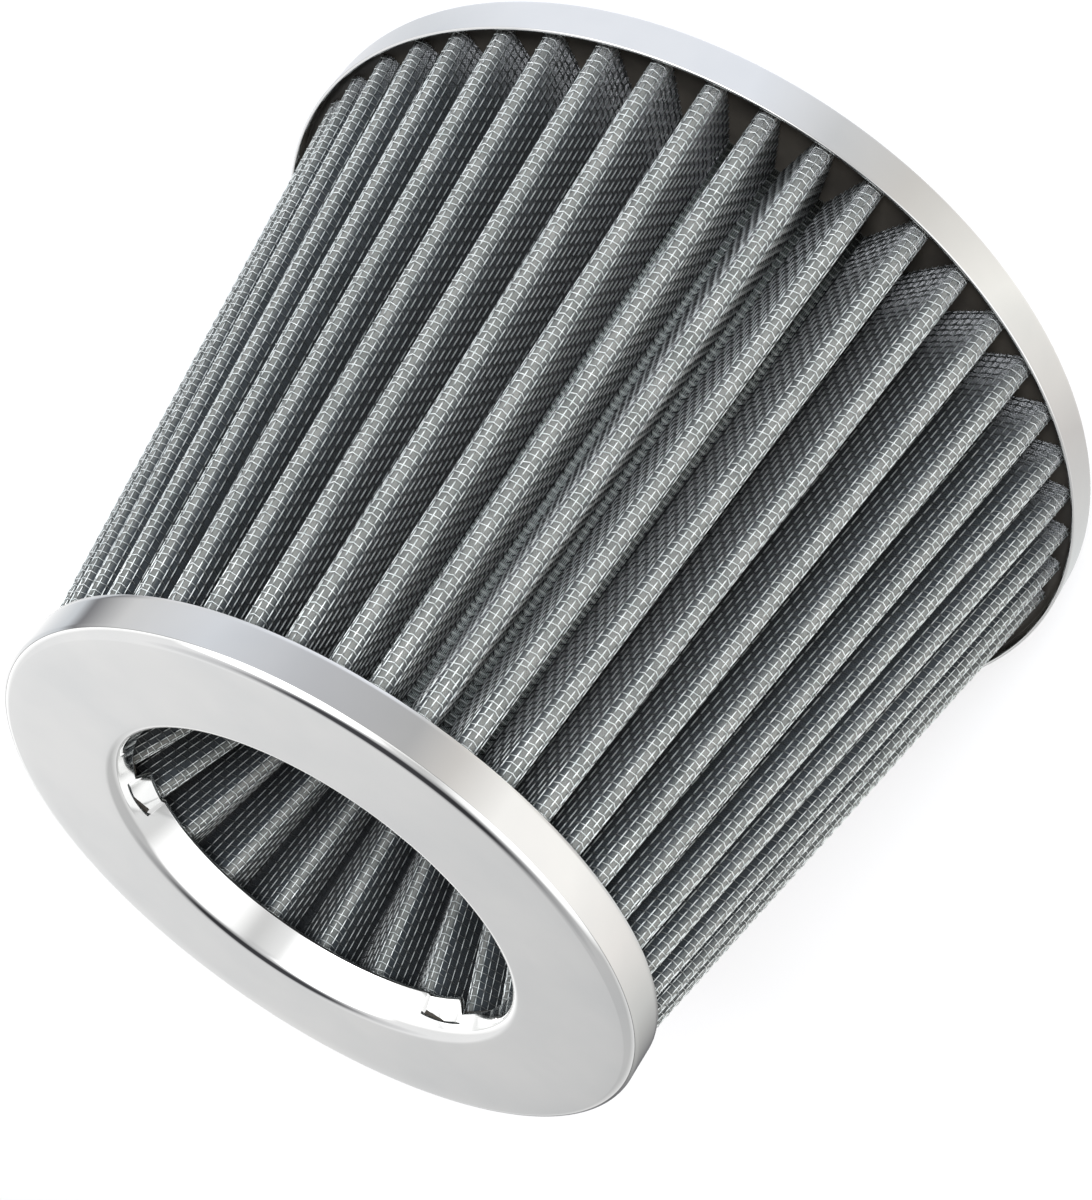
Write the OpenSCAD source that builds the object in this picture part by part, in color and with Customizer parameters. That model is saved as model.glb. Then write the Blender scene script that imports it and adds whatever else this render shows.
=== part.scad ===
// Cone air filter for a 76 mm intake pipe.
// A pleated wire mesh and gauze cone is held between two pressed steel caps, and a smaller
// pleated cone is sunk point down into the open small end. It stands on its pipe collar.

/* [Overall] */
// Outside diameter of the small end cap
small_cap_d = 116; // [114:1:124]
// Outside diameter of the large end cap
large_cap_d = 156; // [146:1:166]
// Height from the back of the large cap to the front of the small cap
body_h = 124; // [112:1:150]

/* [Caps] */
// Thickness of the pressed steel sheet
sheet_t = 0.7; // [0.5:0.1:0.9]
// Depth of the skirt on the small cap
small_skirt_h = 8; // [7:0.5:10]
// Depth of the skirt on the large cap
large_skirt_h = 8; // [7:0.5:10]
// Outside radius of the bend between a cap's face and its skirt
cap_bend_r = 1.8; // [1.2:0.1:2.4]
// Thickness of the sealant poured into the small cap
small_seal_h = 4.6; // [3.8:0.1:5]
// Thickness of the sealant poured into the large cap
large_seal_h = 4.2; // [3:0.1:5]
// How far that sealant reaches in past the pleats
large_seal_w = 2; // [1:0.5:4]

/* [Open mouth of the small cap] */
// Radius of the mouth inside its rolled lip
lip_r = 35; // [33:0.5:35.5]
// Radius of the roll between the cap's face and the lip
lip_roll_r = 3; // [2:0.1:3.4]
// Depth of the lip below the cap's face
lip_h = 6.8; // [6:0.1:7.4]
// Depth of the lip inside its two notches
notch_depth = 4; // [3.6:0.1:5]
// Width of each notch in degrees
notch_angle = 51; // [40:1:60]
// Turn of the notches from the X axis in degrees
notch_turn_angle = -2.5; // [-10:0.5:10]
// Width of the catch at each end of a lip arc, in degrees
catch_angle = 12; // [8:1:16]
// How far each catch is pressed outwards
catch_step = 0.6; // [0.4:0.1:0.7]
// Width of the slot beside each catch, in degrees
slot_angle = 1.6; // [1.2:0.2:3]

/* [Outer pleats] */
// Number of outer pleats
pleat_count = 48; // [40:2:50]
// Depth of the pleats at the small end
pleat_depth_small = 10.5; // [9.5:0.5:11]
// Depth of the pleats at the large end
pleat_depth_large = 13; // [11:0.5:16]
// Radius of the pleat crests on the outside
pleat_crest_r = 1.9; // [1.8:0.1:2.1]
// Radius at the bottom of the pleat valleys on the outside
pleat_valley_r = 0.5; // [0.4:0.1:0.6]
// Gap between the pleat crests and the skirts of the caps
crest_gap = 1; // [0.6:0.1:1.5]

/* [Filter layers] */
// Thickness taken up by each wire mesh
mesh_t = 0.35; // [0.3:0.05:0.4]
// Thickness of the gauze medium between the meshes
medium_t = 0.8; // [0.6:0.1:0.9]

/* [Inverted cone] */
// Number of pleats in the inverted cone
cone_pleat_count = 22; // [18:1:24]
// Turn of the first inverted pleat from the X axis in degrees
cone_turn_angle = 3.5; // [0:0.5:16]
// Height of the inverted cone's pleats
cone_h = 44; // [34:1:46]
// Inward lean of the inverted cone for each millimetre of depth
cone_lean = 0.45; // [0.4:0.01:0.47]
// Radius of the folds that face the mouth
cone_fold_r = 1.9; // [1.8:0.1:2]
// Gap between the inverted cone and the outer pleats where they come closest
cone_gap = 0.5; // [0.3:0.1:0.8]
// Clearance between the inverted cone and the catches of the lip
lip_gap = 0.1; // [0.05:0.05:0.3]
// Thickness of the sealant in the nose of the cone
nose_seal_h = 3.4; // [2.5:0.1:5]
// How far the nose cap's rim stands up beside the pleats
nose_rim_h = 1.2; // [0.5:0.1:3]
// Gap between the pleats and the rim of the nose cap
nose_gap = 0.8; // [0.4:0.1:1.5]

/* [Pipe collar] */
// Inside radius of the collar, over a 76 mm pipe
neck_r = 38; // [36:0.5:40]
// Wall of the rubber collar
neck_wall = 3.5; // [3:0.1:5]
// Length of the collar behind the large cap
neck_h = 16; // [12:0.5:18]
// Height of the bead at the collar's open end
neck_bead_h = 2.5; // [1.5:0.1:4]
// How far the bead stands out from the collar
neck_bead_w = 1; // [0.5:0.1:2]
// Width of the collar's flanges that grip the large cap
flange_w = 4.5; // [3:0.1:6]
// Thickness of the flange inside the large cap
inner_flange_h = 2; // [1.5:0.1:3]
// Thickness of the flange behind the large cap
outer_flange_h = 1.6; // [1:0.1:2.5]

/* [Hidden] */
$fn = 96;

fit_gap = 0.05;
cut_over = 1;
arc_points = 4;
reach = 200;

small_r = small_cap_d / 2;
large_r = large_cap_d / 2;
face_z = neck_h + body_h;
pack_t = 2 * mesh_t + medium_t;

// Heights where the pleats meet the sealant
pack_low_z = neck_h + sheet_t + large_seal_h;
pack_high_z = face_z - sheet_t - small_seal_h;

// Radii of the outer pleats at their crests
crest_small = small_r - sheet_t - crest_gap;
crest_large = large_r - sheet_t - crest_gap;
large_seal_r = crest_large - pleat_depth_large - pack_t - large_seal_w;

// The inverted cone starts outside the lip's catches and stays inside the outer pleats
lip_out_r = lip_r + sheet_t + catch_step;
lip_low_z = face_z - lip_h;
cone_high_r = lip_out_r + lip_gap + cone_lean * (pack_high_z - lip_low_z);
pack_in_r = crest_small - pleat_depth_small - pack_t;
cone_wall = pack_in_r - cone_gap - cone_high_r;
cone_low_z = pack_high_z - cone_h;
cone_low_r = cone_high_r - cone_lean * cone_h;
nose_r = cone_low_r + cone_wall + nose_gap;
pan_r = nose_r + fit_gap + sheet_t;
pan_z = cone_low_z - nose_seal_h - sheet_t;

// Collar and its seat in the large cap
neck_out_r = neck_r + neck_wall;
flange_r = neck_out_r + flange_w;

steel = "#dcdedd";
mesh_steel = "#a9b0ae";
gauze = "#7d827f";
sealant = "#b3aca0";
rubber = "#26272a";

// Angle at which the flank of a pleat leaves its crest, for arc centres at r_out and r_in
function flank_angle(count, r_out, r_in, arcs) =
    let (half = 180 / count, dx = r_in * cos(half) - r_out, dy = r_in * sin(half))
    atan2(dy, dx) - acos(arcs / norm([dx, dy]));

// Closed outline of one surface of a pleated sheet: an outer arc and an inner arc for each
// pleat, joined by straight flanks. Surfaces at other depths share the same arc centres.
function pleat_ring(count, r_out, r_in, arc_out, arc_in, depth, turn, z) =
    let (half = 180 / count,
        a = arc_out - depth,
        b = arc_in + depth,
        c_out = r_out - arc_out,
        c_in = r_in + arc_in,
        flank = flank_angle(count, c_out, c_in, arc_out + arc_in))
    [for (k = [0:count - 1], side = [0, 1], i = [0:arc_points - 1])
        let (s = i / (arc_points - 1),
            base = turn + k * 2 * half,
            t = side == 0 ? -flank + 2 * flank * s : flank + (2 * half - 2 * flank) * s,
            centre = side == 0 ? [c_out, base] : [c_in, base + half],
            swing = side == 0 ? a : -b)
        [centre[0] * cos(centre[1]) + swing * cos(base + t),
            centre[0] * sin(centre[1]) + swing * sin(base + t),
            z]];

// Closed shell between two depths of a pleated sheet, straight from its low to its high end
module pleat_shell(low, high, n) {
    points = concat(low[0], high[0], low[1], high[1]);
    faces = [for (i = [0:n - 1]) let (j = (i + 1) % n)
        each [[i, n + i, n + j], [i, n + j, j],
            [2 * n + i, 3 * n + j, 3 * n + i], [2 * n + i, 2 * n + j, 3 * n + j],
            [i, j, 2 * n + j], [i, 2 * n + j, 2 * n + i],
            [n + i, 3 * n + i, 3 * n + j], [n + i, 3 * n + j, n + j]]];
    polyhedron(points, faces);
}

function outer_ring(depth, low) = low
    ? pleat_ring(pleat_count, crest_large, crest_large - pleat_depth_large,
        pleat_crest_r, pleat_valley_r, depth, 0, pack_low_z)
    : pleat_ring(pleat_count, crest_small, crest_small - pleat_depth_small,
        pleat_crest_r, pleat_valley_r, depth, 0, pack_high_z);

// Layer of the outer pleats between two depths below their outside
module outer_layer(depth, t) {
    pleat_shell([outer_ring(depth, true), outer_ring(depth + t, true)],
        [outer_ring(depth, false), outer_ring(depth + t, false)],
        pleat_count * 2 * arc_points);
}

function cone_ring(depth, low) =
    let (r = low ? cone_low_r : cone_high_r)
    pleat_ring(cone_pleat_count, r + cone_wall, r + pack_t,
        cone_fold_r, cone_fold_r - pack_t, depth,
        cone_turn_angle + 180 / cone_pleat_count, low ? cone_low_z : pack_high_z);

// Layer of the inverted cone between two depths below its clean side
module cone_layer(depth, t) {
    pleat_shell([cone_ring(depth, true), cone_ring(depth + t, true)],
        [cone_ring(depth, false), cone_ring(depth + t, false)],
        cone_pleat_count * 2 * arc_points);
}

module rect(r0, r1, z0, z1) {
    translate([r0, z0]) square([r1 - r0, z1 - z0]);
}

// Quarter of a bent sheet around a centre, in the quadrant that qr and qz point to
module bend(r, z, radius, qr, qz) {
    translate([r, z]) intersection() {
        difference() {
            circle(radius);
            circle(radius - sheet_t);
        }
        translate([qr < 0 ? -radius : 0, qz < 0 ? -radius : 0]) square(radius);
    }
}

module ring(r0, r1, z0, z1) {
    rotate_extrude() rect(r0, r1, z0, z1);
}

// Wedge about the Z axis from angle a0 to a1
module wedge(a0, a1, z0, z1) {
    translate([0, 0, z0]) linear_extrude(z1 - z0) polygon([[0, 0],
        [reach * cos(a0), reach * sin(a0)],
        [reach * cos((a0 + a1) / 2), reach * sin((a0 + a1) / 2)] * 1.2,
        [reach * cos(a1), reach * sin(a1)]]);
}

// Pressed cap with a flat face, a bent skirt and a rolled lip round its mouth
module small_cap_blank() {
    rotate_extrude() {
        rect(lip_r + lip_roll_r, small_r - cap_bend_r, face_z - sheet_t, face_z);
        bend(small_r - cap_bend_r, face_z - cap_bend_r, cap_bend_r, 1, 1);
        rect(small_r - sheet_t, small_r, face_z - small_skirt_h, face_z - cap_bend_r);
        bend(lip_r + lip_roll_r, face_z - lip_roll_r, lip_roll_r, -1, 1);
        rect(lip_r, lip_r + sheet_t, lip_low_z, face_z - lip_roll_r);
    }
}

// Start and end angles of the four catches, one at each end of each lip arc
catch_starts = [for (k = [0, 180], end = [0, 1])
    notch_turn_angle + k + (end == 0 ? notch_angle / 2 : 180 - notch_angle / 2 - catch_angle)];

// Slots beside the catches, on the side away from the notch
slot_starts = [for (k = [0, 180], end = [0, 1])
    notch_turn_angle + k + (end == 0 ? notch_angle / 2 + catch_angle
        : 180 - notch_angle / 2 - catch_angle - slot_angle)];

// Stretch of the lip from an angle over a span, below a height
module lip_cut(start, span, high_z) {
    intersection() {
        ring(lip_r - cut_over, lip_r + sheet_t + cut_over, lip_low_z - cut_over, high_z);
        wedge(start, start + span, lip_low_z - cut_over, high_z);
    }
}

module small_end_cap() {
    catch_z = face_z - lip_roll_r;
    color(steel) union() {
        difference() {
            small_cap_blank();
            for (k = [0, 180])
                lip_cut(notch_turn_angle + k - notch_angle / 2, notch_angle, face_z - notch_depth);
            for (a = catch_starts) lip_cut(a, catch_angle, catch_z);
            for (a = slot_starts) lip_cut(a, slot_angle, catch_z);
        }
        for (a = catch_starts) intersection() {
            rotate_extrude() {
                rect(lip_r + catch_step, lip_out_r, lip_low_z, catch_z);
                rect(lip_r, lip_out_r, catch_z - sheet_t, catch_z);
            }
            wedge(a, a + catch_angle, lip_low_z - cut_over, catch_z + cut_over);
        }
    }
}

module large_end_cap() {
    color(steel) rotate_extrude() {
        rect(neck_out_r + fit_gap, large_r - cap_bend_r, neck_h, neck_h + sheet_t);
        bend(large_r - cap_bend_r, neck_h + cap_bend_r, cap_bend_r, 1, -1);
        rect(large_r - sheet_t, large_r, neck_h + cap_bend_r, neck_h + large_skirt_h);
    }
}

// Ring round the collar with a half round outer edge
module round_edge(r1, z0, z1) {
    half = (z1 - z0) / 2;
    rect(neck_r, r1 - half, z0, z1);
    translate([r1 - half, z0 + half]) circle(half);
}

// Rubber collar: a tube with two flanges that grip the cap and a bead at its open end
module pipe_collar() {
    inner_z = neck_h + sheet_t;
    color(rubber) rotate_extrude() {
        rect(neck_r, neck_out_r, 0, inner_z + inner_flange_h);
        round_edge(flange_r, inner_z, inner_z + inner_flange_h);
        round_edge(flange_r, neck_h - outer_flange_h, neck_h);
        round_edge(neck_out_r + neck_bead_w, 0, neck_bead_h);
    }
}

// Sealant poured against the cap's face between its roll and its skirt
module small_end_seal() {
    color(sealant) rotate_extrude() {
        rect(lip_out_r + fit_gap, small_r - sheet_t - fit_gap, pack_high_z,
            face_z - lip_roll_r);
        rect(lip_r + lip_roll_r, small_r - cap_bend_r, pack_high_z, face_z - sheet_t);
    }
}

module large_end_seal() {
    color(sealant) rotate_extrude() {
        rect(large_seal_r, large_r - cap_bend_r, neck_h + sheet_t, pack_low_z);
        rect(large_seal_r, large_r - sheet_t - fit_gap, neck_h + cap_bend_r, pack_low_z);
    }
}

module outer_wire_mesh() {
    color(mesh_steel) outer_layer(0, mesh_t);
}

module filter_medium() {
    color(gauze) outer_layer(mesh_t, medium_t);
}

module inner_wire_mesh() {
    color(mesh_steel) outer_layer(mesh_t + medium_t, mesh_t);
}

module cone_back_mesh() {
    color(mesh_steel) cone_layer(0, mesh_t);
}

module cone_medium() {
    color(gauze) cone_layer(mesh_t, medium_t);
}

module cone_wire_mesh() {
    color(mesh_steel) cone_layer(mesh_t + medium_t, mesh_t);
}

module nose_seal() {
    color(sealant) rotate_extrude() {
        rect(0, pan_r - cap_bend_r, pan_z + sheet_t, cone_low_z);
        rect(0, nose_r, pan_z + cap_bend_r, cone_low_z);
    }
}

// Shallow pan that closes the nose of the inverted cone on its clean side
module nose_cap() {
    color(steel) rotate_extrude() {
        rect(0, pan_r - cap_bend_r, pan_z, pan_z + sheet_t);
        bend(pan_r - cap_bend_r, pan_z + cap_bend_r, cap_bend_r, 1, -1);
        rect(pan_r - sheet_t, pan_r, pan_z + cap_bend_r, cone_low_z + nose_rim_h);
    }
}

small_end_cap();
large_end_cap();
pipe_collar();
small_end_seal();
large_end_seal();
outer_wire_mesh();
filter_medium();
inner_wire_mesh();
cone_wire_mesh();
cone_medium();
cone_back_mesh();
nose_seal();
nose_cap();
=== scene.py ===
import math

import bpy
import numpy as np
from mathutils import Matrix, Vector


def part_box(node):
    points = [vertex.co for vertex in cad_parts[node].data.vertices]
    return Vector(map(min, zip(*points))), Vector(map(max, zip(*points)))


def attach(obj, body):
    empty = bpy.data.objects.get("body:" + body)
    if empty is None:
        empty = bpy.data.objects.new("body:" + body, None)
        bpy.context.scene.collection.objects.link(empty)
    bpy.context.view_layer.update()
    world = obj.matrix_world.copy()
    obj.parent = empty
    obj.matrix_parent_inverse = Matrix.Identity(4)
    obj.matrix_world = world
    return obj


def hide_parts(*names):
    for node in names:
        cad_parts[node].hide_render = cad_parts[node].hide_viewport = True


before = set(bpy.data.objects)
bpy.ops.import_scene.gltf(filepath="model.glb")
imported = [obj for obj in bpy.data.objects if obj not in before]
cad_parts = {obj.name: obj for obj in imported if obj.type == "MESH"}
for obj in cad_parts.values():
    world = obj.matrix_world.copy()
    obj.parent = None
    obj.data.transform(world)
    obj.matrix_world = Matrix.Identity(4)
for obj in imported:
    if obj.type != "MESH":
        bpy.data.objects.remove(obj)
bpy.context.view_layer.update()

mm = 0.001
scene = bpy.context.scene
scene.view_settings.view_transform = "Standard"
rng = np.random.default_rng(7)


def nodeBox(node):
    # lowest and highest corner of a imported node, in millimetres
    low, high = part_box(node)
    return np.array(low) / mm, np.array(high) / mm


def srgb(code):
    # hex colour to linear light, the sRGB curve for each channel
    channels = [int(code[i:i + 2], 16) / 255 for i in (1, 3, 5)]
    return tuple(c / 12.92 if c <= 0.04045 else ((c + 0.055) / 1.055) ** 2.4 for c in channels)


def addMesh(name, points, quads, uvs=None, marks=None):
    # points in millimetres and faces of four corners go straight into a smooth mesh
    mesh = bpy.data.meshes.new(name)
    mesh.vertices.add(len(points))
    mesh.vertices.foreach_set("co", (points * mm).astype(np.float32).ravel())
    mesh.loops.add(quads.size)
    mesh.loops.foreach_set("vertex_index", quads.astype(np.int32).ravel())
    mesh.polygons.add(len(quads))
    mesh.polygons.foreach_set("loop_start", np.arange(0, quads.size, 4, dtype=np.int32))
    mesh.polygons.foreach_set("loop_total", np.full(len(quads), 4, dtype=np.int32))
    mesh.update(calc_edges=True)
    mesh.polygons.foreach_set("use_smooth", np.ones(len(quads), dtype=bool))
    if uvs is not None:
        layer = mesh.uv_layers.new(name="sheet")
        layer.data.foreach_set("uv", uvs[quads.ravel()].astype(np.float32).ravel())
    for mark, values in (marks or {}).items():
        layer = mesh.attributes.new(mark, "FLOAT", "POINT")
        layer.data.foreach_set("value", values.astype(np.float32))
    piece = bpy.data.objects.new(name, mesh)
    scene.collection.objects.link(piece)
    return piece


def gridQuads(rows, cols, closeCols=False, closeRows=False, flip=False):
    # corner numbers of a grid's cells, row by row, wrapped round where it closes
    r = np.arange(rows if closeRows else rows - 1)
    c = np.arange(cols if closeCols else cols - 1)
    r, c = np.meshgrid(r, c, indexing="ij")
    r, c = r.ravel(), c.ravel()
    r1, c1 = (r + 1) % rows, (c + 1) % cols
    quads = np.stack([r * cols + c, r * cols + c1, r1 * cols + c1, r1 * cols + c], 1)
    return quads[:, ::-1] if flip else quads


def finishPiece(piece, material, slot, *nodes):
    piece.data.materials.append(material)
    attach(piece, "root")
    if nodes:
        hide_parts(*nodes)
    return piece


# sizes that come from the frame
smallLow, smallHigh = nodeBox("small_end_cap")
largeLow, largeHigh = nodeBox("large_end_cap")
packLow, packHigh = nodeBox("outer_wire_mesh")
coneLow, coneHigh = nodeBox("cone_wire_mesh")
panLow, panHigh = nodeBox("nose_cap")
noseLow, noseHigh = nodeBox("nose_seal")
collarLow, collarHigh = nodeBox("pipe_collar")
sealLow, sealHigh = nodeBox("large_end_seal")
topSealLow, topSealHigh = nodeBox("small_end_seal")
faceZ = smallHigh[2]
smallR = smallHigh[0]
largeR = largeHigh[0]
backZ = largeLow[2]
packLowZ, packHighZ = packLow[2], packHigh[2]
coneLowZ = coneLow[2]

sheet = {"thick": 0.7, "bend": 1.8, "edge": 0.34}
lip = {"radius": 35, "top": 38.1, "roll": 1.9, "slope": 18, "depth": 6.8, "notchDepth": 4.0, "notchSpan": 51, "turn": -2.5,
       "catchSpan": 14, "catchStep": 0.6, "corner": 1.8}
layers = {"mesh": 0.35, "medium": 0.8}
layers["pack"] = 2 * layers["mesh"] + layers["medium"]
outerPleats = {"count": 48, "turn": 0.0, "sign": 1, "near": 1.9, "far": 0.5, "lowZ": packLowZ, "highZ": packHighZ,
               "jitter": 0.22, "warp": 1.25, "weft": 1.313, "wire": 0.115}
crestGap = 1.0
crestLow, crestHigh = largeR - sheet["thick"] - crestGap, smallR - sheet["thick"] - crestGap
pleatDepth = {"low": 13.0, "high": 10.5}
outerPleats["nearC"] = (crestLow - outerPleats["near"], crestHigh - outerPleats["near"])
outerPleats["farC"] = (crestLow - pleatDepth["low"] + outerPleats["far"],
                       crestHigh - pleatDepth["high"] + outerPleats["far"])
conePleats = {"count": 22, "turn": 3.5, "sign": -1, "near": 1.9, "far": 0.4, "lowZ": coneLowZ, "highZ": packHighZ,
              "jitter": 0.5, "warp": 1.25, "weft": 1.313, "wire": 0.1, "lean": 0.45, "lipGap": 0.1, "packGap": 0.5}
coneHighR = (lip["radius"] + sheet["thick"] + lip["catchStep"] + conePleats["lipGap"]
             + conePleats["lean"] * (packHighZ - (faceZ - lip["depth"])))
coneWall = crestHigh - pleatDepth["high"] - layers["pack"] - conePleats["packGap"] - coneHighR
coneLowR = coneHighR - conePleats["lean"] * (packHighZ - coneLowZ)
conePleats["nearC"] = (coneLowR + conePleats["near"], coneHighR + conePleats["near"])
conePleats["farC"] = (coneLowR + coneWall - 1.9, coneHighR + coneWall - 1.9)
for pleats in (outerPleats, conePleats):
    pleats["sway"] = rng.uniform(-1, 1, (pleats["count"], 3))
    pleats["shift"] = rng.uniform(-0.12, 0.12, pleats["count"])
print("sizes read from the frame")


def pleatAngle(pleats, k, t):
    # direction of fold k at height t, an even pitch with a slow sway of a fraction of a degree
    turns, k = np.divmod(k, pleats["count"])
    sway = pleats["sway"][k]
    wave = sway[..., 0] + sway[..., 1] * np.sin(2.2 * t + 3 * sway[..., 2])
    pitch = 360 / pleats["count"]
    return np.radians(pleats["turn"] + (k + turns * pleats["count"]) * pitch + pleats["jitter"] * wave)


def pleatShape(pleats, k, side, t):
    # arc centres and tangent angle of the half pleat on one side of fold k
    base = pleatAngle(pleats, k, t)
    half = np.abs(pleatAngle(pleats, k + side, t) - base) / 2
    near = pleats["nearC"][0] + (pleats["nearC"][1] - pleats["nearC"][0]) * t
    far = pleats["farC"][0] + (pleats["farC"][1] - pleats["farC"][0]) * t
    dx = pleats["sign"] * (far * np.cos(half) - near)
    dy = far * np.sin(half)
    span = np.hypot(dx, dy)
    arcs = pleats["near"] + pleats["far"]
    beta = np.arctan2(dy, dx) - np.arccos(arcs / span)
    flank = np.sqrt(span ** 2 - arcs ** 2)
    lengths = pleats["near"] * beta, flank, pleats["far"] * (beta - pleats["sign"] * half)
    return base, half, near, far, beta, lengths


def halfLength(pleats, k, side, t):
    # developed length from the fold's crest to the bottom of the next valley
    lengths = pleatShape(pleats, k, side, t)[5]
    return lengths[0] + lengths[1] + lengths[2]


def pleatPoint(pleats, k, s, t, off):
    # point and normal at developed distance s from fold k's crest: arc, straight flank, arc,
    # moved off along the normal, then turned to the fold's direction
    side = np.where(s < 0, -1, 1)
    base, half, near, far, beta, (arcL, flankL, valleyL) = pleatShape(pleats, k, side, t)
    s = np.minimum(np.abs(s), arcL + flankL + valleyL)
    turn = np.where(s < arcL, s / pleats["near"], beta)
    turn = np.where(s > arcL + flankL, beta - (s - arcL - flankL) / pleats["far"], turn)
    nx, ny = np.cos(turn), np.sin(turn)
    run = np.clip(s - arcL, 0, flankL)
    x = pleats["sign"] * near + (pleats["near"] + off) * nx - run * np.sin(beta)
    y = (pleats["near"] + off) * ny + run * np.cos(beta)
    inValley = s > arcL + flankL
    x = np.where(inValley, pleats["sign"] * far * np.cos(half) - (pleats["far"] - off) * nx, x)
    y = np.where(inValley, far * np.sin(half) - (pleats["far"] - off) * ny, y)
    x, nx = x * pleats["sign"], nx * pleats["sign"]
    y, ny = y * side, ny * side
    c, d = np.cos(base), np.sin(base)
    z = pleats["lowZ"] + (pleats["highZ"] - pleats["lowZ"]) * t
    point = np.stack(np.broadcast_arrays(x * c - y * d, x * d + y * c, z), -1)
    normal = np.stack(np.broadcast_arrays(nx * c - ny * d, nx * d + ny * c, 0 * z), -1)
    return point, normal


def slantLength(pleats):
    # length of a fold from its low end to its high end
    return math.hypot(pleats["nearC"][0] - pleats["nearC"][1], pleats["highZ"] - pleats["lowZ"])


def pleatedSheet(name, pleats, depths, perPleat, rows):
    # closed shell between two depths: shares of the developed length across, height up
    t = np.linspace(0, 1, rows)[:, None]
    share = (np.arange(perPleat) + 0.5) / perPleat * 2 - 1
    share = share - 0.3 * np.sin(np.pi * share) / np.pi
    k = np.repeat(np.arange(pleats["count"]), perPleat)[None, :]
    share = np.tile(share, pleats["count"])[None, :]
    s = share * halfLength(pleats, k, np.where(share < 0, -1, 1), t)
    rings = []
    for depth in depths:
        rings.append(pleatPoint(pleats, k, s, t, -depth)[0].reshape(-1, 3))
    cols = share.size
    number = np.arange(rows * cols).reshape(rows, cols)
    flip = pleats["sign"] < 0
    faces = [gridQuads(rows, cols, closeCols=True, flip=flip),
             gridQuads(rows, cols, closeCols=True, flip=not flip) + rows * cols]
    for row, turn in ((0, not flip), (rows - 1, flip)):
        a = number[row]
        b = np.roll(a, -1)
        rim = np.stack([a, b, b + rows * cols, a + rows * cols], 1)
        faces.append(rim[:, ::-1] if turn else rim)
    u = s + 40 * k
    v = t * slantLength(pleats) + 0 * s
    uvs = np.stack([u.ravel(), v.ravel()], 1) * mm
    deep = np.tile(np.broadcast_to(np.abs(share), s.shape).ravel(), 2)
    return addMesh(name, np.concatenate(rings), np.concatenate(faces), np.concatenate([uvs, uvs]),
                   {"foldDepth": deep})


def weftWires(name, pleats, rowNumbers, rows):
    # wires that run round the pleats: up over one long wire and down under the next, as a
    # closed ring of three-sided sections for each row
    reach = int(22 / pleats["warp"])
    i = np.arange(-reach, reach + 1)
    slip = rng.normal(0, 0.1, (rows, pleats["count"])) / slantLength(pleats)
    tilt = rng.normal(0, 0.035, (rows, pleats["count"])) / slantLength(pleats)
    points, faces, deep, start = [], [], [], 0
    cross = np.radians([90, 210, 330])
    for j in rowNumbers:
        k = np.repeat(np.arange(pleats["count"]), i.size + 1)
        steps = np.tile(np.append(i, 0), pleats["count"])
        last = np.tile(np.append(np.zeros(i.size, bool), True), pleats["count"])
        s = steps * pleats["warp"] + pleats["shift"][k] * pleats["warp"]
        t = (j + 0.5) / rows + np.where(last, 0, slip[j, k] + np.clip(s, -3, 3) * tilt[j, k])
        side = np.where(s < 0, -1, 1)
        whole = halfLength(pleats, k, side, t)
        valley = halfLength(pleats, k, 1, t)
        keep = (np.abs(s) < whole - 0.3) | last
        s = np.where(last, valley, s)
        lift = np.where(last, 0, (-1.0) ** (steps + j)) * pleats["wire"]
        point, normal = pleatPoint(pleats, k[keep], s[keep], t[keep], (lift - layers["mesh"] / 2)[keep])
        up = np.array([0, 0, 1.0])
        ring = [point + pleats["wire"] * (math.sin(a) * normal + math.cos(a) * up) for a in cross]
        ring = np.stack(ring, 1).reshape(-1, 3)
        points.append(ring)
        deep.append(np.repeat(np.abs(s / whole)[keep], 3))
        faces.append(gridQuads(len(point), 3, closeCols=True, closeRows=True, flip=True) + start)
        start += len(ring)
    return addMesh(name, np.concatenate(points), np.concatenate(faces), None, {"foldDepth": np.concatenate(deep)})


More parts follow.
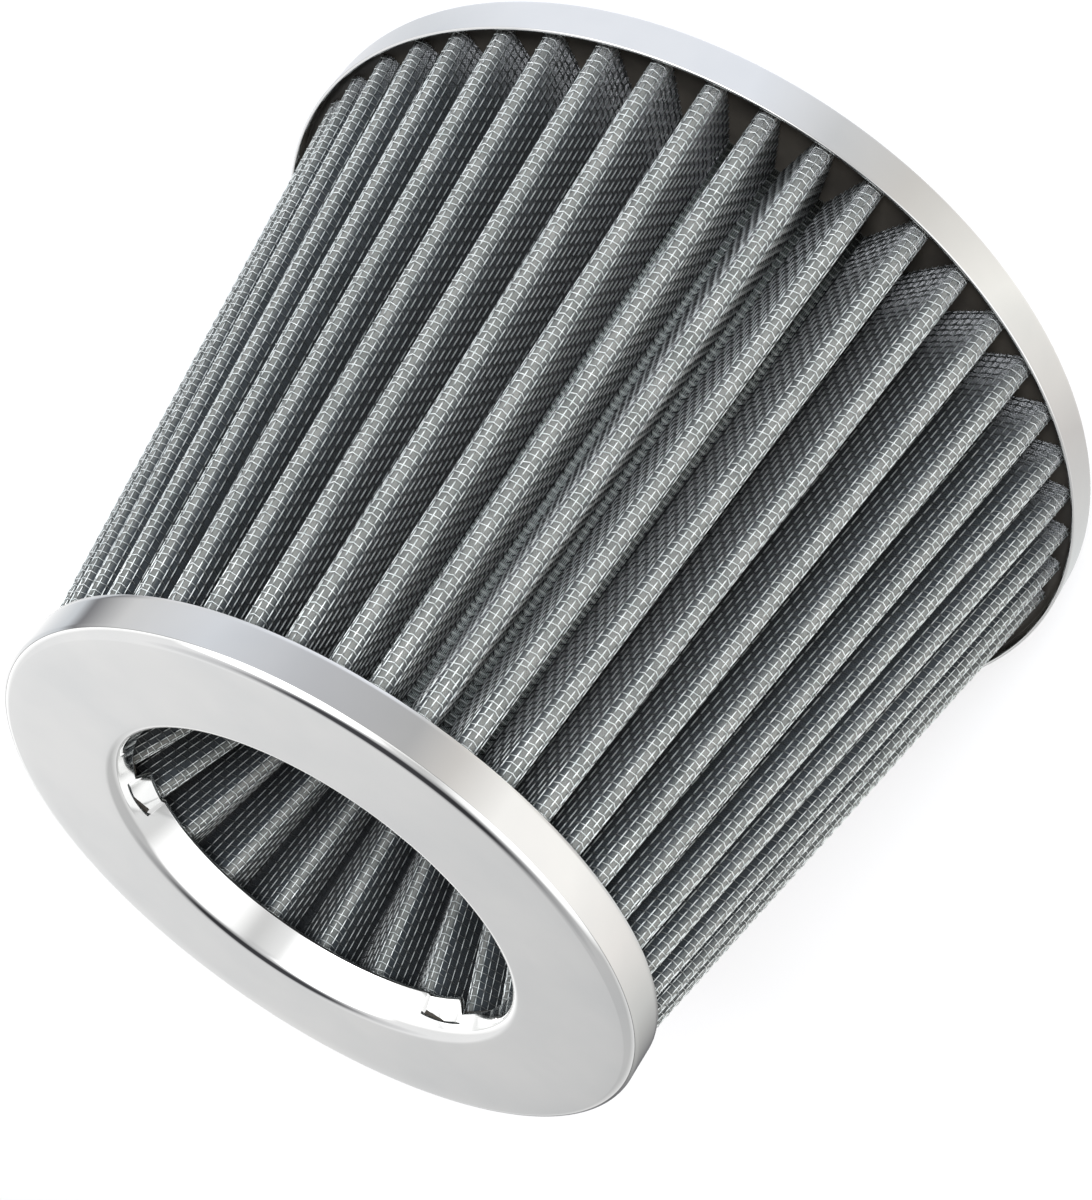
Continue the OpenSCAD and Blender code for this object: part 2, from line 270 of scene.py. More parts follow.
def warpWires(name, pleats, rows):
    # long wires at an even developed pitch from each crest, ended where they meet the valley
    reach = int(22 / pleats["warp"])
    sections = 9
    k, i = np.meshgrid(np.arange(pleats["count"]), np.arange(-reach, reach + 1), indexing="ij")
    k, i = k.ravel(), i.ravel()
    s = (i + pleats["shift"][k] + rng.normal(0, 0.045, k.size)) * pleats["warp"]
    side = np.where(s < 0, -1, 1)
    low, high = halfLength(pleats, k, side, 0.0), halfLength(pleats, k, side, 1.0)
    room = 0.15
    keep = np.abs(s) < np.maximum(low, high) - room - 0.3
    k, i, s, low, high = (a[keep] for a in (k, i, s, low, high))
    meet = np.clip((np.abs(s) + room - low) / (high - low), 0, 1)
    longer = low > high
    start = np.where(longer | (np.abs(s) + room < low), 0, meet)
    end = np.where(longer & (np.abs(s) + room > high), meet, 1)
    t = start[:, None] + (end - start)[:, None] * np.linspace(0, 1, sections)
    point, normal = pleatPoint(pleats, k[:, None] + 0 * t.astype(int), s[:, None] + 0 * t, t, -layers["mesh"] / 2)
    across = np.stack([-normal[..., 1], normal[..., 0], 0 * normal[..., 0]], -1)
    cross = np.radians([45, 135, 225, 315])
    ring = [point + pleats["wire"] * (math.sin(a) * normal + math.cos(a) * across) for a in cross]
    ring = np.stack(ring, 2)
    wires = len(k)
    one = gridQuads(sections, 4, closeCols=True)
    ends = np.array([[0, 1, 2, 3], [4 * sections - 1, 4 * sections - 2, 4 * sections - 3, 4 * sections - 4]])
    one = np.concatenate([one, ends[:, ::-1]])
    quads = one[None] + (np.arange(wires) * 4 * sections)[:, None, None]
    phase = np.pi * (t * rows - 0.5 + i[:, None])
    deep = np.abs(s)[:, None] / halfLength(pleats, k[:, None], np.where(s < 0, -1, 1)[:, None], t)
    marks = {"crossPhase": np.repeat(phase.ravel(), 4), "foldDepth": np.repeat(deep.ravel(), 4)}
    return addMesh(name, ring.reshape(-1, 3), quads.reshape(-1, 4), None, marks)


def arc(cr, cz, radius, start, end, steps):
    # points of a circle's arc in the r, z plane, angles in degrees
    a = np.radians(np.linspace(start, end, steps))
    return [(cr + radius * math.cos(x), cz + radius * math.sin(x)) for x in a]


def turned(name, outline, steps=360, closed=True):
    # outline of r, z points turned about the filter's axis
    outline = np.array(outline, float)
    angle = np.linspace(0, 2 * np.pi, steps, endpoint=False)[:, None]
    r, z = outline[None, :, 0], outline[None, :, 1]
    points = np.stack([r * np.cos(angle), r * np.sin(angle), z + 0 * angle], -1).reshape(-1, 3)
    quads = gridQuads(steps, len(outline), closeCols=closed, closeRows=True)
    return addMesh(name, points, quads)


def largeCapOutline():
    # closed section of the pan: back face, bend, skirt, rounded free edge and the same inside
    t, b, e = sheet["thick"], sheet["bend"], sheet["edge"]
    top, hole = largeHigh[2], -largeLow[0]
    hole = collarOuter + 0.05
    points = [(hole, backZ), (hole + 8, backZ), (largeR - b - 12, backZ)]
    points += arc(largeR - b, backZ + b, b, -90, 0, 14)
    points += [(largeR, backZ + 4), (largeR, top - e - 0.4)]
    points += arc(largeR - e, top - e, e, 0, 90, 6)
    points += arc(largeR - t + e, top - e, e, 90, 180, 6)
    points += [(largeR - t, backZ + 4)]
    points += arc(largeR - b, backZ + b, b - t, 0, -90, 10)
    points += [(largeR - b - 12, backZ + t), (hole, backZ + t)]
    return points


collar = {"bore": 38.0, "wall": 3.5, "bead": 2.5, "beadOut": 1.0, "flange": 4.5, "inner": 2.0, "outer": 1.6}
collarOuter = collar["bore"] + collar["wall"]


def collarOutline():
    # closed section of the rubber collar with its bead and its two gripping flanges
    c, top = collar, collarHigh[2]
    flange = collarOuter + c["flange"]
    plate = backZ + sheet["thick"]
    points = [(c["bore"], 0.6), (c["bore"] + 0.4, 0.15), (c["bore"] + 0.9, 0)]
    points += arc(collarOuter + c["beadOut"] - c["bead"] / 2, c["bead"] / 2, c["bead"] / 2, -90, 70, 12)
    points += [(collarOuter, c["bead"] + 0.3), (collarOuter, backZ - c["outer"] - 0.5)]
    points += arc(collarOuter + 0.5, backZ - c["outer"] - 0.5, 0.5, 180, 90, 5)
    points += arc(flange - c["outer"] / 2, backZ - c["outer"] / 2, c["outer"] / 2, -90, 90, 10)
    points += [(collarOuter + 0.04, backZ), (collarOuter + 0.04, plate)]
    points += arc(flange - c["inner"] / 2, plate + c["inner"] / 2, c["inner"] / 2, -90, 90, 10)
    points += [(c["bore"] + 0.9, top), (c["bore"] + 0.4, top - 0.15), (c["bore"], top - 0.6)]
    return points


def lipDepth(degrees):
    # depth of the lip at each direction: full on its two arcs, less in the notches, with
    # an S-shaped corner a few degrees wide between them
    away = np.abs((degrees - lip["turn"] + 90) % 180 - 90)
    x = np.clip((away - lip["notchSpan"] / 2) / (2 * lip["corner"]) + 0.5, 0, 1)
    rise = x * x * (3 - 2 * x)
    return lip["notchDepth"] + (lip["depth"] - lip["notchDepth"]) * rise


def catchTop(degrees):
    # how far round a catch each direction lies, 0 at the notch to 1 at the far end, and the
    # depth where the catch starts: lower by its square
    away = np.abs((degrees - lip["turn"] + 90) % 180 - 90) - lip["notchSpan"] / 2
    along = np.clip(away / lip["catchSpan"], 0, 1)
    return away, along, 2.5 + 1.0 * along ** 2


def catchPush(degrees, depth):
    # how far the catches at the arcs' ends are pressed out: most along a crescent below the
    # roll, slim by the notch and deep at the far end, and a third less at the free edge
    away, along, edge = catchTop(degrees)
    inside = (away > -2) & (away < lip["catchSpan"])
    fall = np.clip((depth - edge) / 0.2, 0, 1)
    fade = 1 - 0.35 * np.clip((depth - edge) / (lip["depth"] - edge), 0, 1)
    return np.where(inside, (0.2 + 0.8 * along) * 1.25 * fall * fade, 0)


def smallCap():
    # pressed ring: section points that follow the lip's depth, turned round with finer steps
    # at the catches, and a second skin inside it at the sheet's thickness
    t, b, e = sheet["thick"], sheet["bend"], sheet["edge"]
    fine = []
    for centre in (0, 180):
        for side in (-1, 1):
            mark = lip["turn"] + centre + side * lip["notchSpan"] / 2
            fine += list(np.linspace(mark - 3, mark + 3, 41))
            mark = mark + side * lip["catchSpan"]
            fine += list(np.linspace(mark - 1, mark + 1, 25))
    angles = np.unique(np.round(np.concatenate([np.arange(0, 360, 0.75), np.array(fine) % 360]), 3))
    depth = lipDepth(angles)
    low = smallLow[2]
    fixed = [(smallR, low + e), (smallR, low + 1.2), (smallR, faceZ - b - 1.5)]
    fixed += arc(smallR - b, faceZ - b, b, 0, 90, 14)
    fixed += [(smallR - b - 3, faceZ), (smallR - b - 8, faceZ), (lip["top"] + 5, faceZ), (lip["top"] + 1, faceZ)]
    fixed = np.array(fixed)
    swing = np.radians(np.linspace(0, 90 - lip["slope"], 16))
    rollR = lip["top"] - lip["roll"] * np.sin(swing)
    rollZ = lip["roll"] * (1 - np.cos(swing))
    fall = math.tan(math.radians(lip["slope"]))
    columns = []
    for angle, deep in zip(angles, depth):
        bend = catchTop(angle)[2]
        wallZ = np.concatenate([np.linspace(rollZ[-1], bend, 8)[1:], np.linspace(bend + 0.2, deep, 14)])
        r = np.concatenate([rollR, rollR[-1] - fall * (wallZ - rollZ[-1])])
        z = np.concatenate([rollZ, wallZ])
        r = r + catchPush(angle, z)
        columns.append(np.concatenate([fixed, np.stack([r, faceZ - z], 1)]))
    front = np.array(columns)
    tangent = np.gradient(front, axis=1)
    length = np.hypot(tangent[..., 0], tangent[..., 1])
    inward = np.stack([tangent[..., 1], -tangent[..., 0]], -1) / length[..., None]
    inward = -inward
    back = front + t * inward
    mid = front + t / 2 * inward
    bulge = 0.3
    firstEdge = mid[:, :1] - bulge * (tangent[:, :1] / length[:, :1, None])
    lastEdge = mid[:, -1:] + bulge * (tangent[:, -1:] / length[:, -1:, None])
    section = np.concatenate([front, lastEdge, back[:, ::-1], firstEdge], 1)
    a = np.radians(angles)[:, None]
    r, z = section[..., 0], section[..., 1]
    points = np.stack([r * np.cos(a), r * np.sin(a), z], -1).reshape(-1, 3)
    quads = gridQuads(len(angles), section.shape[1], closeCols=True, closeRows=True)
    return addMesh("smallEndCap", points, quads)


def newMaterial(name):
    material = bpy.data.materials.new(name)
    material.use_nodes = True
    tree = material.node_tree
    tree.nodes.clear()
    out = tree.nodes.new("ShaderNodeOutputMaterial")
    return material, tree, out


def addNode(tree, kind, settings=None, **links):
    # one node with its settings and what feeds its sockets
    node = tree.nodes.new("ShaderNode" + kind)
    for key, value in (settings or {}).items():
        if key in node.inputs:
            node.inputs[key].default_value = value
        else:
            setattr(node, key, value)
    for key, source in links.items():
        tree.links.new(source, node.inputs[key.replace("_", " ") if key.replace("_", " ") in node.inputs else int(key[1:])])
    return node


def ramp(tree, source, stops):
    node = addNode(tree, "ValToRGB", Fac=source)
    band = node.color_ramp
    while len(band.elements) < len(stops):
        band.elements.new(0.5)
    for element, (place, colour) in zip(band.elements, stops):
        element.position = place
        element.color = (*colour, 1)
    return node


def chromeMaterial():
    # polished chrome plate on pressed steel: a near mirror, with faint polishing haze
    material, tree, out = newMaterial("chromePlatedSteel")
    place = addNode(tree, "TexCoord")
    haze = addNode(tree, "TexNoise", {"Scale": 60.0, "Detail": 3.0}, Vector=place.outputs["Object"])
    rough = addNode(tree, "MapRange", {"To Min": 0.045, "To Max": 0.085}, Value=haze.outputs["Fac"])
    ripple = addNode(tree, "TexNoise", {"Scale": 22.0, "Detail": 1.0}, Vector=place.outputs["Object"])
    bump = addNode(tree, "Bump", {"Strength": 0.05, "Distance": 0.0006}, Height=ripple.outputs["Fac"])
    tone = ramp(tree, haze.outputs["Fac"], [(0.3, srgb("#e9eaea")), (0.7, srgb("#f1f1f0"))])
    shader = addNode(tree, "BsdfPrincipled", {"Metallic": 1.0}, Base_Color=tone.outputs["Color"],
                     Roughness=rough.outputs["Result"], Normal=bump.outputs["Normal"])
    tree.links.new(shader.outputs["BSDF"], out.inputs["Surface"])
    return material


def wireMaterial(name, stops, crossingShadeStops=None):
    # bright drawn stainless wire: fine draw lines blur its glint. Painted shade darkens a long wire
    # where it dips under a crossing wire, and painted shade darkens both kinds of wire down the pleat
    # flanks into the folds
    material, tree, out = newMaterial(name)
    place = addNode(tree, "TexCoord")
    grain = addNode(tree, "TexNoise", {"Scale": 900.0, "Detail": 2.0}, Vector=place.outputs["Object"])
    tone = ramp(tree, grain.outputs["Fac"], [(0.3, srgb("#d5dcdb")), (0.7, srgb("#fafdfc"))])
    source = addNode(tree, "Attribute", {"attribute_name": "foldDepth"}).outputs["Fac"]
    # painted shade: darker down the pleat flanks towards the valleys, by fold depth
    paintedShades = [ramp(tree, source, [(place, (v, v, v)) for place, v in stops])]
    if crossingShadeStops:
        # painted shade where a long wire dips under a crossing wire
        phase = addNode(tree, "Attribute", {"attribute_name": "crossPhase"}).outputs["Fac"]
        wave = addNode(tree, "Math", {"operation": "COSINE"}, Value=phase).outputs["Value"]
        paintedShades.append(ramp(tree, wave, [(place, (v, v, v)) for place, v in crossingShadeStops]))
    colour = tone.outputs["Color"]
    for paintedShade in paintedShades:
        mix = addNode(tree, "Mix", {"data_type": "RGBA", "blend_type": "MULTIPLY"})
        mix.inputs[0].default_value = 1
        tree.links.new(colour, mix.inputs[6])
        tree.links.new(paintedShade.outputs["Color"], mix.inputs[7])
        colour = mix.outputs[2]
    shader = addNode(tree, "BsdfPrincipled", {"Metallic": 0.7, "Roughness": 0.3}, Base_Color=colour)
    tree.links.new(shader.outputs["BSDF"], out.inputs["Surface"])
    return material


def gauzeMaterial():
    # oiled grey cotton gauze, plain woven: matt threads 0.5 mm apart with darker gaps. Its own grey shows on the
    # crests; painted shade darkens it down the flanks to near black in the valleys
    material, tree, out = newMaterial("cottonGauze")
    place = addNode(tree, "UVMap", {"uv_map": "sheet"})
    turns = 2 * math.pi / (0.52 * mm)
    parts = addNode(tree, "SeparateXYZ", Vector=place.outputs["UV"])
    waves = []
    for axis in ("X", "Y"):
        scaled = addNode(tree, "Math", {"operation": "MULTIPLY"}, Value=parts.outputs[axis])
        scaled.inputs[1].default_value = turns
        waves.append(addNode(tree, "Math", {"operation": "SINE"}, Value=scaled.outputs["Value"]))
    weave = addNode(tree, "Math", {"operation": "MULTIPLY"}, Value=waves[0].outputs["Value"])
    tree.links.new(waves[1].outputs["Value"], weave.inputs[1])
    fuzz = addNode(tree, "TexNoise", {"Scale": 2500.0, "Detail": 2.0}, Vector=place.outputs["UV"])
    blotch = addNode(tree, "TexNoise", {"Scale": 130.0, "Detail": 2.0}, Vector=place.outputs["UV"])
    height = addNode(tree, "Math", {"operation": "MULTIPLY_ADD"}, Value=weave.outputs["Value"])
    height.inputs[1].default_value = 0.35
    tree.links.new(fuzz.outputs["Fac"], height.inputs[2])
    deep = addNode(tree, "Attribute", {"attribute_name": "foldDepth"})
    # painted shade: grey on the crests, darker down the flanks to near black in the valleys, by fold depth
    tone = ramp(tree, deep.outputs["Fac"], [(0.0, srgb("#73736f")), (0.09, srgb("#676865")),
                                           (0.18, srgb("#33373a")), (0.45, srgb("#1f2224")), (1.0, srgb("#131517"))])
    patch = ramp(tree, blotch.outputs["Fac"], [(0.3, srgb("#cfd3d3")), (0.7, srgb("#ffffff"))])
    mix = addNode(tree, "Mix", {"data_type": "RGBA", "blend_type": "MULTIPLY"})
    mix.inputs[0].default_value = 1
    tree.links.new(tone.outputs["Color"], mix.inputs[6])
    tree.links.new(patch.outputs["Color"], mix.inputs[7])
    bump = addNode(tree, "Bump", {"Strength": 0.6, "Distance": 0.0001}, Height=height.outputs["Value"])
    shader = addNode(tree, "BsdfPrincipled", {"Roughness": 0.85, "Sheen Weight": 0.25, "Sheen Roughness": 0.4},
                     Base_Color=mix.outputs[2], Normal=bump.outputs["Normal"])
    tree.links.new(shader.outputs["BSDF"], out.inputs["Surface"])
    return material


def wovenMaterial():
    # the hidden meshes: the same wire drawn as a raised plain weave on the sheet
    material, tree, out = newMaterial("wovenStainlessMesh")
    place = addNode(tree, "UVMap", {"uv_map": "sheet"})
    parts = addNode(tree, "SeparateXYZ", Vector=place.outputs["UV"])
    turns = 2 * math.pi / (outerPleats["weft"] * mm)
    ridges = []
    for axis in ("X", "Y"):
        scaled = addNode(tree, "Math", {"operation": "MULTIPLY"}, Value=parts.outputs[axis])
        scaled.inputs[1].default_value = turns
        wave = addNode(tree, "Math", {"operation": "COSINE"}, Value=scaled.outputs["Value"])
        ridges.append(addNode(tree, "MapRange", {"From Min": 0.45, "From Max": 0.95}, Value=wave.outputs["Value"]))
    wires = addNode(tree, "Math", {"operation": "MAXIMUM"}, Value=ridges[0].outputs["Result"])
    tree.links.new(ridges[1].outputs["Result"], wires.inputs[1])
    tone = ramp(tree, wires.outputs["Value"], [(0.1, srgb("#5a5f5d")), (0.6, srgb("#d4dad8"))])
    bump = addNode(tree, "Bump", {"Strength": 0.9, "Distance": 0.0002}, Height=wires.outputs["Value"])
    shader = addNode(tree, "BsdfPrincipled", {"Roughness": 0.4}, Base_Color=tone.outputs["Color"],
                     Metallic=wires.outputs["Value"], Normal=bump.outputs["Normal"])
    tree.links.new(shader.outputs["BSDF"], out.inputs["Surface"])
    return material


def sealantMaterial():
    # cast polyurethane: a dark warm grey satin surface with small dimples and dust; the grey is set darker than the
    # sealant's own as painted shade for the shade it lies in between the pleats
    material, tree, out = newMaterial("castPolyurethane")
    place = addNode(tree, "TexCoord")
    cloud = addNode(tree, "TexNoise", {"Scale": 160.0, "Detail": 4.0}, Vector=place.outputs["Object"])
    # painted shade: the sealant's grey set darker for the shade between the pleats
    tone = ramp(tree, cloud.outputs["Fac"], [(0.3, srgb("#33302c")), (0.7, srgb("#45413b"))])
    bump = addNode(tree, "Bump", {"Strength": 0.3, "Distance": 0.0004}, Height=cloud.outputs["Fac"])
    shader = addNode(tree, "BsdfPrincipled", {"Roughness": 0.5}, Base_Color=tone.outputs["Color"],
                     Normal=bump.outputs["Normal"])
    tree.links.new(shader.outputs["BSDF"], out.inputs["Surface"])
    return material


def rubberMaterial():
    # moulded nitrile rubber: nearly black, satin, with a fine moulded grain
    material, tree, out = newMaterial("mouldedRubber")
    place = addNode(tree, "TexCoord")
    grain = addNode(tree, "TexNoise", {"Scale": 1400.0, "Detail": 3.0}, Vector=place.outputs["Object"])
    cloud = addNode(tree, "TexNoise", {"Scale": 90.0, "Detail": 2.0}, Vector=place.outputs["Object"])
    tone = ramp(tree, cloud.outputs["Fac"], [(0.3, srgb("#1c1d1f")), (0.7, srgb("#2b2c2e"))])
    rough = addNode(tree, "MapRange", {"To Min": 0.42, "To Max": 0.6}, Value=cloud.outputs["Fac"])
    bump = addNode(tree, "Bump", {"Strength": 0.25, "Distance": 0.00015}, Height=grain.outputs["Fac"])
    shader = addNode(tree, "BsdfPrincipled", {}, Base_Color=tone.outputs["Color"],
                     Roughness=rough.outputs["Result"], Normal=bump.outputs["Normal"])
    tree.links.new(shader.outputs["BSDF"], out.inputs["Surface"])
    return material


chrome = chromeMaterial()
# painted shade stops: wires darker down the flanks by fold depth, and long wires darker where they dip under
longWire = wireMaterial("drawnStainlessLongWire", [(0.0, 1.0), (0.16, 1.0), (0.3, 0.6), (1.0, 0.3)],
                        [(0.1, 1.0), (0.9, 0.3)])
crossWire = wireMaterial("drawnStainlessCrossWire", [(0.0, 1.0), (0.1, 1.0), (0.18, 0.4), (0.3, 0.12), (1.0, 0.04)])
gauze = gauzeMaterial()
woven = wovenMaterial()
polyurethane = sealantMaterial()
rubber = rubberMaterial()
print("materials made")

m, g = layers["mesh"], layers["medium"]
finishPiece(pleatedSheet("outerGauze", outerPleats, (m, m + g), 36, 9), gauze, "gauze", "filter_medium")
finishPiece(pleatedSheet("innerMesh", outerPleats, (m + g, 2 * m + g), 24, 5), woven, "wire_mesh", "inner_wire_mesh")
finishPiece(pleatedSheet("coneGauze", conePleats, (m, m + g), 36, 7), gauze, "gauze", "cone_medium")
finishPiece(pleatedSheet("coneBackMesh", conePleats, (m + g, 2 * m + g), 24, 5), woven, "wire_mesh", "cone_back_mesh")
print("pleated sheets made")

rows = int(slantLength(outerPleats) / outerPleats["weft"])
bands = np.array_split(np.arange(rows), 4)
for word, band in zip(("Low", "MidLow", "MidHigh", "High"), bands):
    finishPiece(weftWires("outerCrossWires" + word, outerPleats, band, rows), crossWire, "wire_mesh", "outer_wire_mesh")
finishPiece(warpWires("outerLongWires", outerPleats, rows), longWire, "wire_mesh", "outer_wire_mesh")
rows = int(slantLength(conePleats) / conePleats["weft"])
finishPiece(weftWires("coneCrossWires", conePleats, np.arange(rows), rows), crossWire, "wire_mesh", "cone_wire_mesh")
finishPiece(warpWires("coneLongWires", conePleats, rows), longWire, "wire_mesh", "cone_wire_mesh")
print("wires made")

finishPiece(smallCap(), chrome, "polished_steel", "small_end_cap")
finishPiece(turned("largeEndCap", largeCapOutline()), chrome, "polished_steel", "large_end_cap")
finishPiece(turned("pipeCollar", collarOutline()), rubber, "rubber", "pipe_collar")


def panOutline():
    # closed section of the nose pan, from the axis out to its rim and back
    t, b, r = sheet["thick"], sheet["bend"], panHigh[0]
    low, high = panLow[2], panHigh[2]
    points = [(0.01, low), (r * 0.5, low)] + arc(r - b, low + b, b, -90, 0, 12)
    points += arc(r - 0.34, high - 0.34, 0.34, 0, 90, 5) + arc(r - t + 0.34, high - 0.34, 0.34, 90, 180, 5)
    points += arc(r - b, low + b, b - t, 0, -90, 8) + [(0.01, low + t)]
    return points


# the large cap's sealant reaches 2 mm in past the pleats
sealInner = crestLow - pleatDepth["low"] - layers["pack"] - 2


def sealOutline(inner, outer, low, high, lift):
    # closed section of a poured ring whose face climbs a little where it wets the walls
    rim = 1.4
    side = 1 if lift > 0 else -1
    face, other = (high, low) if side > 0 else (low, high)
    x = np.linspace(0, 1, 9)
    climb = abs(lift) * (1 - x) ** 2.5
    points = [(inner, other), (outer - 1.1, other), (outer, other + side * 1.1)]
    points += [(outer - rim * a, face + side * c) for a, c in zip(x, climb)]
    points += [(inner + rim * a, face + side * c * 0.5) for a, c in zip(x[::-1], climb[::-1])]
    return points if side > 0 else points[::-1]


finishPiece(turned("noseCap", panOutline(), 180), chrome, "polished_steel", "nose_cap")
finishPiece(turned("largeEndSeal", sealOutline(sealInner, sealHigh[0], sealLow[2], sealHigh[2], 0.7)),
            polyurethane, "sealant", "large_end_seal")
for node, material in (("small_end_seal", polyurethane), ("nose_seal", polyurethane)):
    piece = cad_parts[node]
    piece.data.materials.clear()
    piece.data.materials.append(material)
print("caps, collar and seals made")

def floorMaterial():
    # white studio paper: matt for the light, white to the camera; polished metal sees a painted
    # reflection instead: pale and dark bands painted round the object, told apart by direction and by how near they lie
    material, tree, out = newMaterial("paperFloor")
    path = addNode(tree, "LightPath")
    place = addNode(tree, "TexCoord")
    matt = addNode(tree, "BsdfDiffuse", {"Color": (0.8, 0.8, 0.8, 1)})
    shade = addNode(tree, "BsdfDiffuse", {"Color": (0.66, 0.66, 0.66, 1)})
    glow = addNode(tree, "Emission", {"Color": (1, 1, 1, 1), "Strength": 0.3})
    both = addNode(tree, "AddShader", i0=shade.outputs["BSDF"], i1=glow.outputs["Emission"])
    parts = addNode(tree, "SeparateXYZ", Vector=place.outputs["Object"])
    turn = addNode(tree, "Math", {"operation": "ARCTAN2"}, i0=parts.outputs["Y"], i1=parts.outputs["X"])
    share = addNode(tree, "MapRange", {"From Min": -math.pi, "From Max": math.pi}, Value=turn.outputs["Value"])
    # painted reflection: pale and dark bands by direction round the object, glowing only for polished metal
    paintedReflectionBands = {}
    for name, stops in (("far", [(-180, "#ece9e6"), (-150, "#fffdfa"), (-122, "#fffdfa"), (-104, "#d2cfcc"), (-90, "#b3b3b4"),
                                 (-60, "#bebfc3"), (-25, "#dadde3"), (8, "#d3d3d4"), (27, "#7c7c7f"), (34, "#caced3"),
                                 (62, "#ffffff"), (95, "#c8c8c8"), (114, "#6e6e70"), (150, "#cacac8"), (180, "#ece9e6")]),
                        ("near", [(-180, "#d4d6d6"), (-152, "#cdcac8"), (-124, "#faf8f3"), (-103, "#d2cfcb"), (-90, "#cfd0d2"),
                                  (-76, "#edf0f7"), (-38, "#eceff6"), (-15, "#d9dce1"), (20, "#eeeef1"), (180, "#d4d6d6")])):
        paintedReflectionBands[name] = ramp(tree, share.outputs["Result"], [((a + 180) / 360, srgb(c)) for a, c in stops])
    away = addNode(tree, "VectorMath", {"operation": "LENGTH"}, Vector=place.outputs["Object"])
    far = addNode(tree, "MapRange", {"From Min": 0.13, "From Max": 0.2}, Value=away.outputs["Value"])
    tint = addNode(tree, "Mix", {"data_type": "RGBA"})
    tree.links.new(far.outputs["Result"], tint.inputs[0])
    tree.links.new(paintedReflectionBands["near"].outputs["Color"], tint.inputs[6])
    tree.links.new(paintedReflectionBands["far"].outputs["Color"], tint.inputs[7])
    # the painted reflection glows only where polished metal looks at the floor
    paintedReflection = addNode(tree, "Emission", {"Strength": 1.08}, Color=tint.outputs[2])
    seen = addNode(tree, "MixShader", Fac=path.outputs["Is Camera Ray"], i1=matt.outputs["BSDF"], i2=both.outputs["Shader"])
    gloss = addNode(tree, "Math", {"operation": "MAXIMUM"}, i0=path.outputs["Is Glossy Ray"], i1=path.outputs["Is Transmission Ray"])
    last = addNode(tree, "MixShader", Fac=gloss.outputs["Value"], i1=seen.outputs["Shader"], i2=paintedReflection.outputs["Emission"])
    tree.links.new(last.outputs["Shader"], out.inputs["Surface"])
    return material


def addFloor():
    half = 6000.0
    points = np.array([[-half, -half, 0], [half, -half, 0], [half, half, 0], [-half, half, 0]])
    floor = addMesh("floor", points, np.array([[0, 1, 2, 3]]))
    floor.data.materials.append(floorMaterial())


def studioWorld():
    # soft room: pale walls with a darker ceiling and a thin dark line where they meet the
    # floor, a little brighter towards the key lamp
    world = bpy.data.worlds.new("studio")
    world.use_nodes = True
    tree = world.node_tree
    tree.nodes.clear()
    place = addNode(tree, "TexCoord")
    parts = addNode(tree, "SeparateXYZ", Vector=place.outputs["Generated"])
    walls = ramp(tree, parts.outputs["Z"], [(0.0, (0.12, 0.12, 0.12)), (0.02, (0.4, 0.4, 0.4)), (0.05, (1.08, 1.08, 1.08)),
                                           (0.25, (0.84, 0.84, 0.84)), (0.34, (0.71, 0.71, 0.713)),
                                           (0.7, (0.72, 0.72, 0.725)), (0.86, (0.5, 0.5, 0.51)), (0.95, (0.05, 0.05, 0.055))])
    lean = addNode(tree, "MapRange", {"From Min": -0.2, "From Max": 0.2, "To Min": 0.78, "To Max": 1.28},
                   Value=parts.outputs["X"])
    shaded = addNode(tree, "Mix", {"data_type": "RGBA", "blend_type": "MULTIPLY"})
    shaded.inputs[0].default_value = 1
    tree.links.new(walls.outputs["Color"], shaded.inputs[6])
    tree.links.new(lean.outputs["Result"], shaded.inputs[7])
    room = addNode(tree, "Background", {"Strength": 1.0})
    tree.links.new(shaded.outputs[2], room.inputs["Color"])
    # soft boxes that only polished metal sees: a direction and how wide each one spreads
    glow = room.outputs["Background"]
    for aim, inner, outer, power in (((0.6, -0.66, 0.45), 0.97, 0.8, 1.6), ((-0.72, -0.6, 0.33), 0.96, 0.75, 0.8)):
        near = addNode(tree, "VectorMath", {"operation": "DOT_PRODUCT"}, Vector=place.outputs["Generated"])
        near.inputs[1].default_value = aim
        spread = addNode(tree, "MapRange", {"interpolation_type": "SMOOTHSTEP", "From Min": outer, "From Max": inner,
                                            "To Max": power}, Value=near.outputs["Value"])
        box = addNode(tree, "Background", {"Color": (1, 1, 1, 1)}, Strength=spread.outputs["Result"])
        glow = addNode(tree, "AddShader", i0=glow, i1=box.outputs["Background"]).outputs["Shader"]
    plain = addNode(tree, "Background", {"Color": (1, 1, 1, 1), "Strength": 1.0})
    path = addNode(tree, "LightPath")
    lit = addNode(tree, "MixShader", Fac=path.outputs["Is Glossy Ray"], i1=room.outputs["Background"], i2=glow)
    mix = addNode(tree, "MixShader", Fac=path.outputs["Is Camera Ray"], i1=lit.outputs["Shader"], i2=plain.outputs["Background"])
    out = addNode(tree, "OutputWorld", Surface=mix.outputs["Shader"])
    scene.world = world


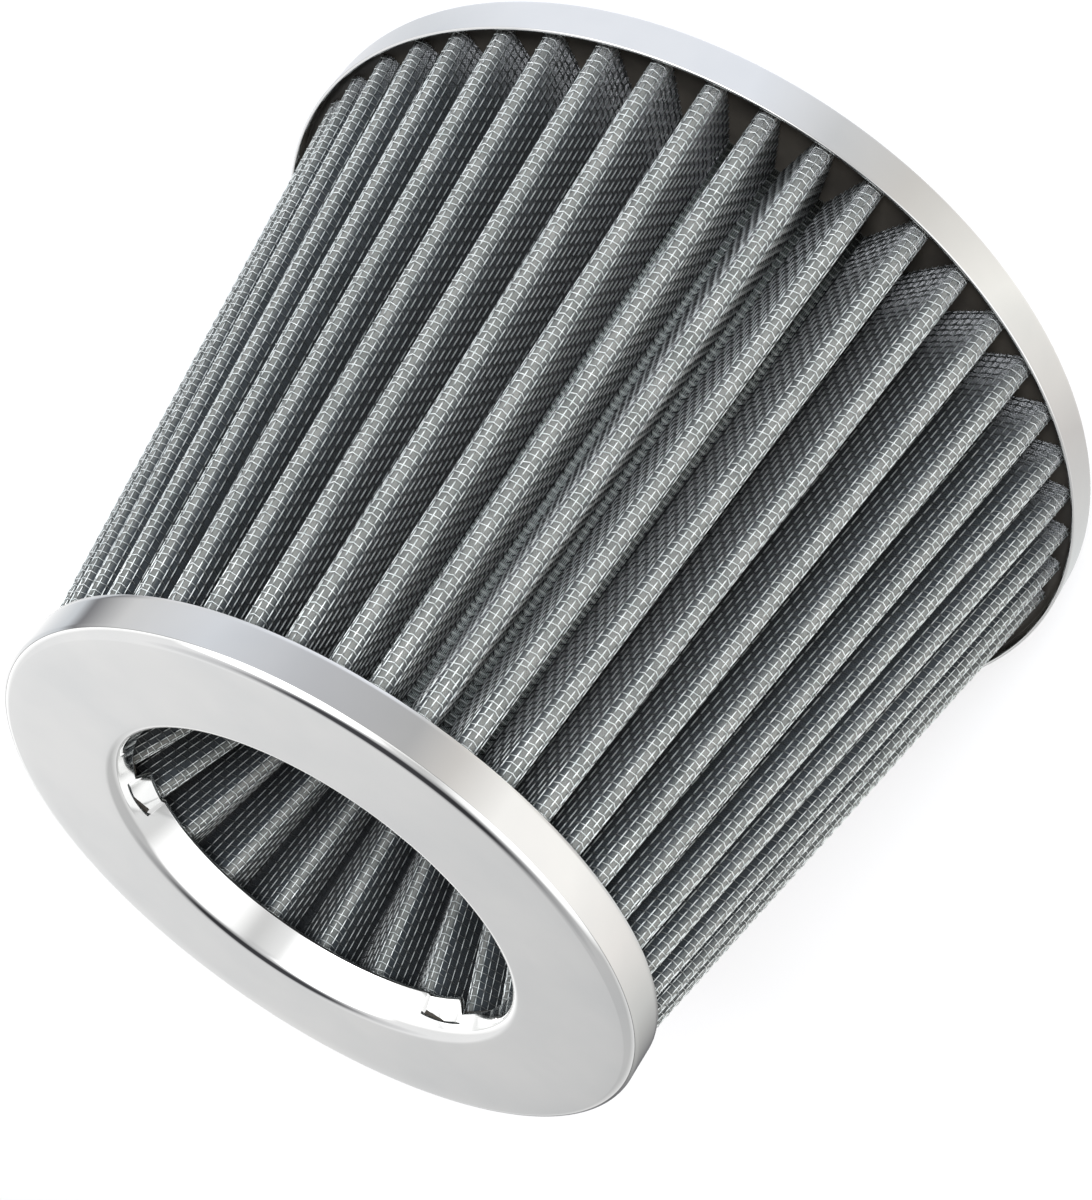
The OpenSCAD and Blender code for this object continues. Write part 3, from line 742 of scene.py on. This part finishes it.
def addLamp(name, spot, size, power, colour="#ffffff"):
    # square soft box at a spot in millimetres, turned to the filter's middle
    data = bpy.data.lights.new(name, "AREA")
    data.shape = "SQUARE"
    data.size = size * mm
    data.energy = power
    data.color = srgb(colour)
    lamp = bpy.data.objects.new(name, data)
    scene.collection.objects.link(lamp)
    place = np.array(spot, float)
    aim = np.array([0, 0, faceZ / 2]) - place
    back = -aim / np.linalg.norm(aim)
    side = np.cross([0, 0, 1.0], back)
    side /= np.linalg.norm(side)
    up = np.cross(back, side)
    matrix = Matrix.Identity(4)
    for row in range(3):
        matrix[row][0], matrix[row][1], matrix[row][2] = side[row], up[row], back[row]
        matrix[row][3] = place[row] * mm
    lamp.matrix_world = matrix
    lamp.visible_glossy = False
    return lamp


view = {"tilt": 60.38, "lean": -55.1, "offset": (-37.2, 45.3, 433.4), "focal": 2777, "width": 36.0}


def addCamera():
    # the filter's axis leans away from the lens by tilt and across the picture by lean;
    # offset is the small cap's centre seen from the lens: right, down, forward
    tilt, lean = math.radians(view["tilt"]), math.radians(view["lean"])
    axis = np.array([math.sin(tilt) * math.cos(lean), math.sin(tilt) * math.sin(lean), math.cos(tilt)])
    first = np.cross([0, 0, 1.0], axis)
    first /= np.linalg.norm(first)
    second = np.cross(axis, first)
    turn = np.stack([-first, second, -axis], 1)
    offset = np.array(view["offset"]) + faceZ * axis
    place = -turn.T @ offset
    data = bpy.data.cameras.new("camera")
    data.sensor_width = view["width"]
    data.lens = view["focal"] / 1200 * view["width"]
    data.clip_start, data.clip_end = 0.01, 50
    camera = bpy.data.objects.new("camera", data)
    scene.collection.objects.link(camera)
    matrix = Matrix.Identity(4)
    for row in range(3):
        matrix[row][0], matrix[row][1], matrix[row][2] = turn[0][row], -turn[1][row], -turn[2][row]
        matrix[row][3] = place[row] * mm
    camera.matrix_world = matrix
    scene.camera = camera
    return camera


addFloor()
studioWorld()
addLamp("keyLamp", (557, -3160, 1634), 1300, 190, "#f4f8ff")
addLamp("fillLamp", (-2700, -1500, 1500), 2700, 70, "#fffaf4")
addCamera()
print("floor, lights and camera made")
